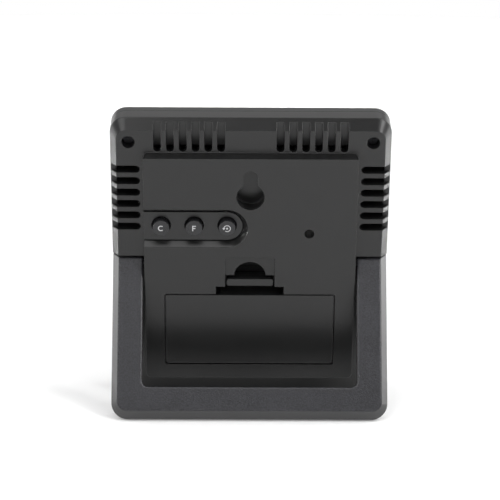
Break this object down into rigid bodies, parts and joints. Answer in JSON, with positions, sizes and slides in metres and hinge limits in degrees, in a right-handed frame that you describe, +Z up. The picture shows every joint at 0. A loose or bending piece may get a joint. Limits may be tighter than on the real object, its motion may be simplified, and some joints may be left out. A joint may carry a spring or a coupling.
{
  "type": "temperature humidity sensor",
  "caption": "Desk or wall temperature and humidity sensor: slim plastic case with a display in front, vented back, keyhole, back buttons, battery door and fold-out stand.",
  "frame": {"origin": "on the table, under the middle of the part's box, with the stand open", "axes": "+Z up, display faces -Y, back and stand face +Y, X across the case"},
  "size_m": [0.095, 0.0498, 0.1065],
  "materials": {
    "case_plastic": "fine satin texture, near black",
    "stand_plastic": "spark-grained, near black",
    "button_plastic": "satin black",
    "lens": "clear, polished",
    "adhesive": "matt",
    "display_glass": "grey-green, satin",
    "white_plastic": "satin",
    "rubber": "matt",
    "board": "solder resist",
    "epoxy": "glossy",
    "steel": "nickel plated",
    "ceramic": "matt",
    "switch": "satin",
    "brass": "satin",
    "cell": "satin sleeve"
  },
  "bodies": {
    "case": {"front_housing": "case_plastic", "back_housing": "case_plastic", "display_lens": "lens", "lens_adhesive": "adhesive", "lcd_glass": "display_glass", "lcd_diffuser": "white_plastic", "lcd_holder": "white_plastic", "zebra_connector": "rubber", "main_board": "board", "controller_chip": "epoxy", "crystal_can": "steel", "board_capacitors": "ceramic", "humidity_sensor": "white_plastic", "tact_switches": "switch", "board_spacer": "brass", "board_screws": "steel", "case_screws": "steel", "centre_screw": "steel", "contact_positive": "steel", "contact_negative": "steel", "contact_bridge": "steel", "spring_upper": "steel", "spring_lower": "steel", "cell_upper": "cell", "cell_lower": "cell"},
    "stand": {"stand": "stand_plastic"},
    "battery_door": {"battery_door": "case_plastic"},
    "battery_latch": {"battery_latch": "case_plastic"},
    "button_c": {"button_c": "button_plastic"},
    "button_f": {"button_f": "button_plastic"},
    "button_reset": {"button_reset": "button_plastic"}
  },
  "joints": [
    {"name": "stand_fold", "type": "hinge", "parent": "case", "child": "stand", "pos_m": [0, 0.00362, 0.05153], "axis": [1, 0, 0], "range_deg": [-35.8, 0]},
    {"name": "battery_door_swing", "type": "hinge", "parent": "case", "child": "battery_door", "pos_m": [0, -0.00022, 0.01435], "axis": [-1, 0, 0], "range_deg": [0, 60]},
    {"name": "battery_latch_flex", "type": "hinge", "parent": "battery_door", "child": "battery_latch", "pos_m": [0, 0.00062, 0.04658], "axis": [-1, 0, 0], "range_deg": [0, 8], "stiffness_Nm_per_rad": 0.25},
    {"name": "button_c_press", "type": "slide", "parent": "case", "child": "button_c", "axis": [0, -0.9694, 0.2454], "range_m": [0, 0.0006], "stiffness_N_per_m": 1500},
    {"name": "button_f_press", "type": "slide", "parent": "case", "child": "button_f", "axis": [0, -0.9694, 0.2454], "range_m": [0, 0.0006], "stiffness_N_per_m": 1500},
    {"name": "button_reset_press", "type": "slide", "parent": "case", "child": "button_reset", "axis": [0, -0.9694, 0.2454], "range_m": [0, 0.0006], "stiffness_N_per_m": 1500}
  ]
}
